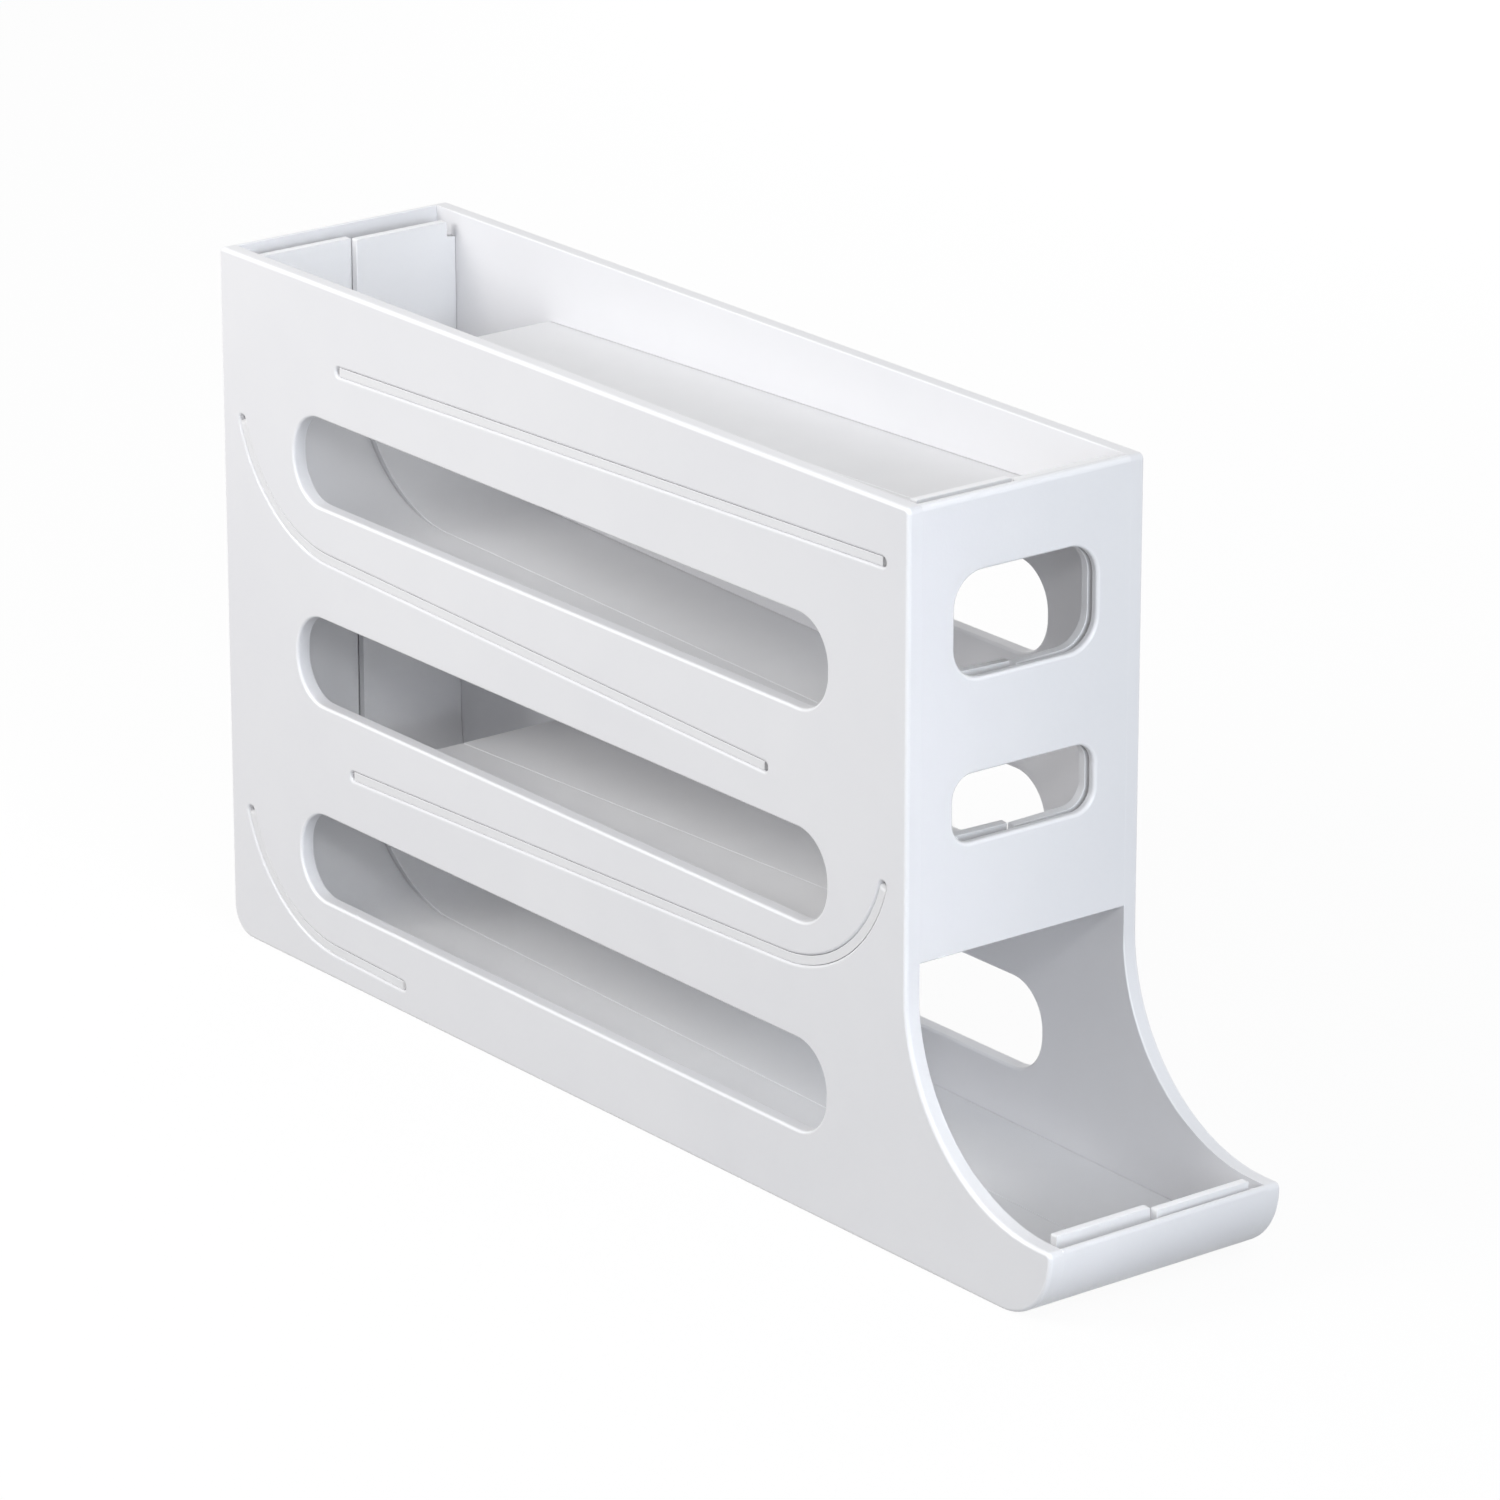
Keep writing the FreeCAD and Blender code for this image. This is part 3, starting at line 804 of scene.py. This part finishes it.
# %% Two finishes of the same plastic
DRIFT_SCALE = 9.0           # slow drift of colour, about 110 mm
CLOUD_SCALE = 70.0          # faint clouds, about 14 mm
GRAIN_SCALE = 1400.0        # satin grain, under a millimetre
WAVE_SCALE = 14.0           # waviness of the flats
CLOUD_SHARE = 0.35          # of the colour's change; the drift has the rest
SMOOTHER, ROUGHER = 0.04, 0.05  # how far the clouds move the roughness
WAVE_STRENGTH = 0.12
WAVE_HEIGHT = 1.5 * MM
GRAIN_HEIGHT = 0.06 * MM
PLASTIC_IOR = 1.49
# Painted highlight: the paler colour that the rounded edges are painted.
RIM_HIGHLIGHT_COLOUR = colour(246, 246, 248)


def white_plastic(name, pale, dull, roughness, grain, highlight_and_polish):
    """White moulded plastic with a painted highlight, a paler colour, on its rounded edges; the last value
    is how much those edges lose of their roughness.
    """
    finish = Finish(name)
    drift = finish.noise(DRIFT_SCALE, detail=3.0)
    clouds = finish.noise(CLOUD_SCALE, detail=4.0)
    mixed = finish.math("MULTIPLY_ADD", clouds, CLOUD_SHARE, finish.spread(drift, 0.0, 1 - CLOUD_SHARE))
    rim = finish.add("ShaderNodeAttribute", {"attribute_name": "rim"}).outputs["Fac"]
    tone = finish.ramp(mixed, pale, dull)
    # The rounded edges are painted the paler rim colour, a painted highlight.
    finish.put(finish.shader.inputs["Base Color"], finish.ramp(rim, tone, RIM_HIGHLIGHT_COLOUR))
    rough = finish.spread(clouds, roughness - SMOOTHER, roughness + ROUGHER)
    finish.put(finish.shader.inputs["Roughness"], finish.math("MULTIPLY_ADD", rim, -highlight_and_polish, rough))
    waves = finish.add(
        "ShaderNodeBump", Height=finish.noise(WAVE_SCALE, detail=1.0),
        Strength=WAVE_STRENGTH, Distance=WAVE_HEIGHT)
    skin = finish.add(
        "ShaderNodeBump", Height=finish.noise(GRAIN_SCALE, detail=2.0), Normal=waves.outputs["Normal"],
        Strength=grain, Distance=GRAIN_HEIGHT)
    finish.put(finish.shader.inputs["Normal"], skin.outputs["Normal"])
    finish.put(finish.shader.inputs["IOR"], PLASTIC_IOR)
    return finish.material


panel_plastic = white_plastic(
    "panel_plastic", colour(236, 236, 238), colour(230, 230, 233), roughness=0.36, grain=0.25, highlight_and_polish=0.14)
runner_plastic = white_plastic(
    "runner_plastic", colour(235, 235, 236), colour(229, 229, 231), roughness=0.46, grain=0.3, highlight_and_polish=0.0)
for piece in [*side_walls, front_wall, rear_wall, lip]:
    piece.data.materials.append(panel_plastic)
for piece in sheets:
    piece.data.materials.append(runner_plastic)

# %% [markdown]
# Floor and light
#
# A product picture has a pale floor without a horizon and light from large soft sources. The floor
# is white to the camera and greyer to the light it bounces, so the holder keeps its shade near the
# ground. A soft lamp hangs near, high to the rear left, so the side is brightest at its top rear and
# darkens towards the nose. A cooler one stands in front. Beside it a tall strip with a narrow beam
# shines just past the left edge, so the front fades from left to right and the side gets none of it.
# A small lamp beside the camera draws thin bright lines along the rounded edges. A weak one on the
# far side keeps the back from going dull; it isn't mirrored, or the level rims would turn white.

# %% Floor
FLOOR_HALF = 6.0
FLOOR_COLOUR = colour(135, 135, 137)
FLOOR_SEEN = colour(250, 250, 250)
FLOOR_ROUGHNESS = 0.9
FLOOR_LIFT = 0.93           # share of plain white that the camera sees in the floor


def seen_directly(tree):
    """1 for the rays of the camera, of mirror images and of what is seen through; 0 for other light."""
    path = tree.nodes.new("ShaderNodeLightPath")
    total = path.outputs["Is Camera Ray"]
    for kind in ("Is Glossy Ray", "Is Transmission Ray"):
        both = tree.nodes.new("ShaderNodeMath")
        both.operation = "MAXIMUM"
        tree.links.new(total, both.inputs[0])
        tree.links.new(path.outputs[kind], both.inputs[1])
        total = both.outputs[0]
    return total


def add_floor():
    """A square grid of two parameters, (u, v) to (x, y, 0)."""
    u, v = np.meshgrid([-FLOOR_HALF, FLOOR_HALF], [-FLOOR_HALF, FLOOR_HALF])
    mesh = bpy.data.meshes.new("floor")
    corners = np.stack([u.ravel(), v.ravel(), np.zeros(4)], axis=1)
    mesh.from_pydata(corners, [], [(0, 1, 3, 2)])
    floor = bpy.data.objects.new("floor", mesh)
    bpy.context.scene.collection.objects.link(floor)
    finish = Finish("floor_paper")
    seen = seen_directly(finish.tree)
    finish.put(finish.shader.inputs["Base Color"], finish.ramp(seen, FLOOR_COLOUR, FLOOR_SEEN))
    finish.put(finish.shader.inputs["Roughness"], FLOOR_ROUGHNESS)
    glow = finish.add("ShaderNodeEmission", Strength=1.0)
    mix = finish.add("ShaderNodeMixShader")
    finish.put(mix.inputs[0], finish.math("MULTIPLY", seen, FLOOR_LIFT))
    finish.put(mix.inputs[1], finish.shader.outputs[0])
    finish.put(mix.inputs[2], glow.outputs[0])
    finish.put(finish.tree.nodes["Material Output"].inputs["Surface"], mix.outputs[0])
    mesh.materials.append(finish.material)
    return floor


floor = add_floor()
print(floor.name, "of", 2 * FLOOR_HALF, "metres each way")

# %% Light
SKY_LEVEL = 0.5             # strength of the sky as a light
MIDDLE = (0.0, 0.0, 0.12)   # what most lamps face, inside the holder
STRIP_X = -0.115            # plane of the strip's beam, clear of the left side
WHITE = (1.0, 1.0, 1.0)
WARM = (1.0, 0.99, 0.975)
COOL = (0.85, 0.92, 1.0)
PALE_COOL = (0.9, 0.95, 1.0)


def add_world():
    """A plain sky; the camera and reflections see it as white."""
    world = bpy.data.worlds.new("studio")
    world.use_nodes = True
    bpy.context.scene.world = world
    tree = world.node_tree
    background = tree.nodes["Background"]
    background.inputs["Color"].default_value = (*WHITE, 1.0)
    level = tree.nodes.new("ShaderNodeMapRange")
    tree.links.new(seen_directly(tree), level.inputs["Value"])
    level.inputs["To Min"].default_value = SKY_LEVEL
    level.inputs["To Max"].default_value = 1.0
    tree.links.new(level.outputs["Result"], background.inputs["Strength"])


def add_softbox(name, place, target, size, power, tint, spread=180.0, mirrored=True):
    """An area lamp of a width and height at a place, facing a target.

    Spread is the angle of its beam in degrees, and mirrored says whether shiny surfaces show the lamp.
    """
    lamp = bpy.data.lights.new(name, "AREA")
    lamp.shape = "RECTANGLE"
    lamp.size, lamp.size_y = size
    lamp.spread = math.radians(spread)
    lamp.energy = power
    lamp.color = tint
    holder = bpy.data.objects.new(name, lamp)
    bpy.context.scene.collection.objects.link(holder)
    holder.visible_glossy = mirrored
    holder.location = place
    holder.rotation_euler = (Vector(target) - Vector(place)).to_track_quat("-Z", "Y").to_euler()


add_world()
add_softbox("key", (-0.72, 0.35, 0.56), MIDDLE, (0.45, 0.45), 4.35, WARM)
add_softbox("front_cool", (-0.3, -1.7, 0.6), (0.0, -0.1, 0.12), (0.8, 0.8), 13.9, COOL)
strip_place, strip_target = (STRIP_X, -1.7, 0.45), (STRIP_X, FRONT_Y, 0.12)
add_softbox("front_strip", strip_place, strip_target, (0.04, 0.9), 0.115, PALE_COOL, spread=11.0)
add_softbox("edge", (-0.75, -0.95, 0.75), MIDDLE, (0.16, 0.16), 2.0, WHITE)
add_softbox("far_fill", (1.1, 0.8, 0.45), MIDDLE, (0.8, 0.8), 4.5, WHITE, mirrored=False)
print("five lamps and a plain sky")

# %% [markdown]
# Camera
#
# The camera stands where the picture was taken: to the left of the front, a little above, far away
# with a long lens, so that upright edges stay nearly parallel. Its axes are written as a matrix from
# the heading and the tilt, and its lens from the focal length in pixels of a square frame.

# %% Place the camera
PHOTO_SIDE = 1500           # pixels
FOCAL_PIXELS = 7831
SENSOR = 36.0               # millimetres
HEADING = math.radians(37.87)
TILT = math.radians(19.43)
CAMERA_PLACE = (-1.2666, -1.6383, 0.8318)


def add_camera():
    """Right, up and back are the columns of the camera's turn."""
    right = Vector((math.cos(HEADING), -math.sin(HEADING), 0.0))
    ahead = Vector((math.sin(HEADING) * math.cos(TILT), math.cos(HEADING) * math.cos(TILT), -math.sin(TILT)))
    up = right.cross(ahead)
    lens = bpy.data.cameras.new("camera")
    lens.sensor_width = SENSOR
    lens.lens = FOCAL_PIXELS / PHOTO_SIDE * SENSOR
    camera = bpy.data.objects.new("camera", lens)
    bpy.context.scene.collection.objects.link(camera)
    turn = Matrix((right, up, -ahead)).transposed().to_4x4()
    camera.matrix_world = Matrix.Translation(CAMERA_PLACE) @ turn
    bpy.context.scene.camera = camera
    print(camera.name, "with a lens of", round(lens.lens), "mm")


add_camera()
bpy.context.scene.view_settings.view_transform = "Standard"
